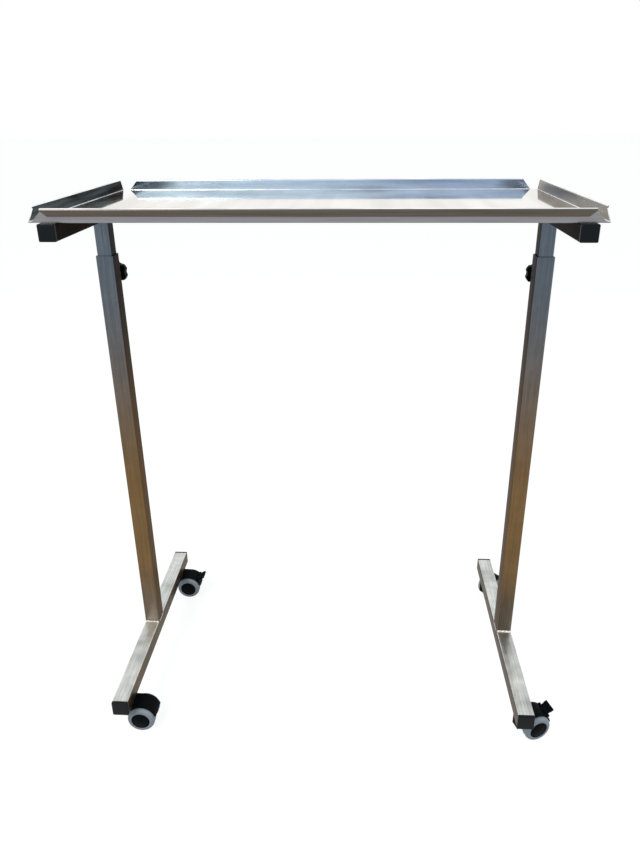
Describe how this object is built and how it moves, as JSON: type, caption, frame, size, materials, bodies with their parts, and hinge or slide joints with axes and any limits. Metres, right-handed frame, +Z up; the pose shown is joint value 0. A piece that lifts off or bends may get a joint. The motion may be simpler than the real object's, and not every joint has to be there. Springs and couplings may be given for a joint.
{
  "type": "surgical bridge table",
  "caption": "Stainless instrument tray on square-tube telescopic legs that bridge a patient; clamp knobs set the height and twin-wheel casters, some braked, carry the foot bars.",
  "frame": {"origin": "on the floor under the middle of the tray, halfway between the two legs", "axes": "+Z up; +X across the bridge from the left leg to the right leg as the picture shows them; +Y away from the camera, along the foot bars"},
  "size_m": [0.8417, 0.4628, 0.9795],
  "materials": {
    "tray_steel": "bright, nearly mirror polished inside, matt outside",
    "tube_steel": "satin stainless square tube",
    "zinc_steel": "zinc plated",
    "black_plastic": "moulded black, slightly shiny",
    "liner_plastic": "white acetal",
    "tread": "grey polyurethane tread"
  },
  "bodies": {
    "base_left": {"upright_left": "tube_steel", "foot_bar_left": "tube_steel", "foot_plug_front_left": "black_plastic", "foot_plug_rear_left": "black_plastic", "guide_liner_left": "liner_plastic", "caster_nuts_left": "zinc_steel", "caster_stem_front_left": "zinc_steel", "caster_stem_rear_left": "zinc_steel"},
    "bridge": {"tray": "tray_steel", "crossbar_left": "tube_steel", "crossbar_right": "tube_steel", "crossbar_plug_front_left": "black_plastic", "crossbar_plug_rear_left": "black_plastic", "crossbar_plug_front_right": "black_plastic", "crossbar_plug_rear_right": "black_plastic", "inner_tube_left": "tube_steel", "inner_tube_right": "tube_steel", "inner_glide_left": "black_plastic", "inner_glide_right": "black_plastic"},
    "base_right": {"upright_right": "tube_steel", "foot_bar_right": "tube_steel", "foot_plug_front_right": "black_plastic", "foot_plug_rear_right": "black_plastic", "guide_liner_right": "liner_plastic", "caster_nuts_right": "zinc_steel", "caster_stem_front_right": "zinc_steel", "caster_stem_rear_right": "zinc_steel"},
    "slug_left": {"clamp_slug_left": "zinc_steel"},
    "knob_left": {"clamp_stud_left": "zinc_steel", "clamp_knob_left": "black_plastic"},
    "slug_right": {"clamp_slug_right": "zinc_steel"},
    "knob_right": {"clamp_stud_right": "zinc_steel", "clamp_knob_right": "black_plastic"},
    "caster_front_left": {"caster_hood_front_left": "black_plastic", "caster_axle_front_left": "zinc_steel"},
    "wheel_front_left_a": {"hub_front_left_a": "black_plastic", "tyre_front_left_a": "tread"},
    "wheel_front_left_b": {"hub_front_left_b": "black_plastic", "tyre_front_left_b": "tread"},
    "caster_rear_left": {"caster_hood_rear_left": "black_plastic", "caster_axle_rear_left": "zinc_steel"},
    "wheel_rear_left_a": {"hub_rear_left_a": "black_plastic", "tyre_rear_left_a": "tread"},
    "wheel_rear_left_b": {"hub_rear_left_b": "black_plastic", "tyre_rear_left_b": "tread"},
    "pedal_rear_left": {"brake_pedal_rear_left": "black_plastic"},
    "caster_front_right": {"caster_hood_front_right": "black_plastic", "caster_axle_front_right": "zinc_steel"},
    "wheel_front_right_a": {"hub_front_right_a": "black_plastic", "tyre_front_right_a": "tread"},
    "wheel_front_right_b": {"hub_front_right_b": "black_plastic", "tyre_front_right_b": "tread"},
    "pedal_front_right": {"brake_pedal_front_right": "black_plastic"},
    "caster_rear_right": {"caster_hood_rear_right": "black_plastic", "caster_axle_rear_right": "zinc_steel"},
    "wheel_rear_right_a": {"hub_rear_right_a": "black_plastic", "tyre_rear_right_a": "tread"},
    "wheel_rear_right_b": {"hub_rear_right_b": "black_plastic", "tyre_rear_right_b": "tread"}
  },
  "joints": [
    {"name": "bridge_lift", "type": "slide", "parent": "base_left", "child": "bridge", "axis": [0, 0, 1], "range_m": [-0.055, 0.3]},
    {"name": "right_leg_slide", "type": "slide", "parent": "bridge", "child": "base_right", "axis": [0, 0, -1], "range_m": [-0.055, 0.3]},
    {"name": "slug_left_feed", "type": "slide", "parent": "base_left", "child": "slug_left", "axis": [0, 1, 0], "range_m": [0, 0.0025]},
    {"name": "knob_left_turn", "type": "hinge", "parent": "slug_left", "child": "knob_left", "pos_m": [-0.371, 0.03, 0.836], "axis": [0, 1, 0], "range_deg": [0, 720]},
    {"name": "slug_right_feed", "type": "slide", "parent": "base_right", "child": "slug_right", "axis": [0, 1, 0], "range_m": [0, 0.0025]},
    {"name": "knob_right_turn", "type": "hinge", "parent": "slug_right", "child": "knob_right", "pos_m": [0.371, 0.03, 0.836], "axis": [0, 1, 0], "range_deg": [0, 720]},
    {"name": "swivel_front_left", "type": "hinge", "parent": "base_left", "child": "caster_front_left", "pos_m": [-0.371, -0.186, 0.045], "axis": [0, 0, 1], "continuous": true},
    {"name": "wheel_front_left_a_roll", "type": "hinge", "parent": "caster_front_left", "child": "wheel_front_left_a", "pos_m": [-0.343, -0.1705, 0.026], "axis": [0, 1, 0], "continuous": true},
    {"name": "wheel_front_left_b_roll", "type": "hinge", "parent": "caster_front_left", "child": "wheel_front_left_b", "pos_m": [-0.343, -0.2015, 0.026], "axis": [0, 1, 0], "continuous": true},
    {"name": "swivel_rear_left", "type": "hinge", "parent": "base_left", "child": "caster_rear_left", "pos_m": [-0.371, 0.186, 0.045], "axis": [0, 0, 1], "continuous": true},
    {"name": "wheel_rear_left_a_roll", "type": "hinge", "parent": "caster_rear_left", "child": "wheel_rear_left_a", "pos_m": [-0.343, 0.2015, 0.026], "axis": [0, 1, 0], "continuous": true},
    {"name": "wheel_rear_left_b_roll", "type": "hinge", "parent": "caster_rear_left", "child": "wheel_rear_left_b", "pos_m": [-0.343, 0.1705, 0.026], "axis": [0, 1, 0], "continuous": true},
    {"name": "brake_rear_left_press", "type": "hinge", "parent": "caster_rear_left", "child": "pedal_rear_left", "pos_m": [-0.32017, 0.186, 0.04516], "axis": [0, 1, 0], "range_deg": [0, 28]},
    {"name": "swivel_front_right", "type": "hinge", "parent": "base_right", "child": "caster_front_right", "pos_m": [0.371, -0.186, 0.045], "axis": [0, 0, 1], "continuous": true},
    {"name": "wheel_front_right_a_roll", "type": "hinge", "parent": "caster_front_right", "child": "wheel_front_right_a", "pos_m": [0.39201, -0.16186, 0.026], "axis": [-0.342, 0.9397, 0], "continuous": true},
    {"name": "wheel_front_right_b_roll", "type": "hinge", "parent": "caster_front_right", "child": "wheel_front_right_b", "pos_m": [0.40261, -0.19099, 0.026], "axis": [-0.342, 0.9397, 0], "continuous": true},
    {"name": "brake_front_right_press", "type": "hinge", "parent": "caster_front_right", "child": "pedal_front_right", "pos_m": [0.41876, -0.16862, 0.04516], "axis": [-0.342, 0.9397, 0], "range_deg": [0, 28]},
    {"name": "swivel_rear_right", "type": "hinge", "parent": "base_right", "child": "caster_rear_right", "pos_m": [0.371, 0.186, 0.045], "axis": [0, 0, 1], "continuous": true},
    {"name": "wheel_rear_right_a_roll", "type": "hinge", "parent": "caster_rear_right", "child": "wheel_rear_right_a", "pos_m": [0.37984, 0.21676, 0.026], "axis": [-0.7071, 0.7071, 0], "continuous": true},
    {"name": "wheel_rear_right_b_roll", "type": "hinge", "parent": "caster_rear_right", "child": "wheel_rear_right_b", "pos_m": [0.40176, 0.19484, 0.026], "axis": [-0.7071, 0.7071, 0], "continuous": true}
  ],
  "couplings": [
    {"joint": "right_leg_slide", "follows": "bridge_lift", "ratio": 1},
    {"joint": "knob_left_turn", "follows": "slug_left_feed", "rad_per_m": 5026.5},
    {"joint": "knob_right_turn", "follows": "slug_right_feed", "rad_per_m": 5026.5}
  ]
}
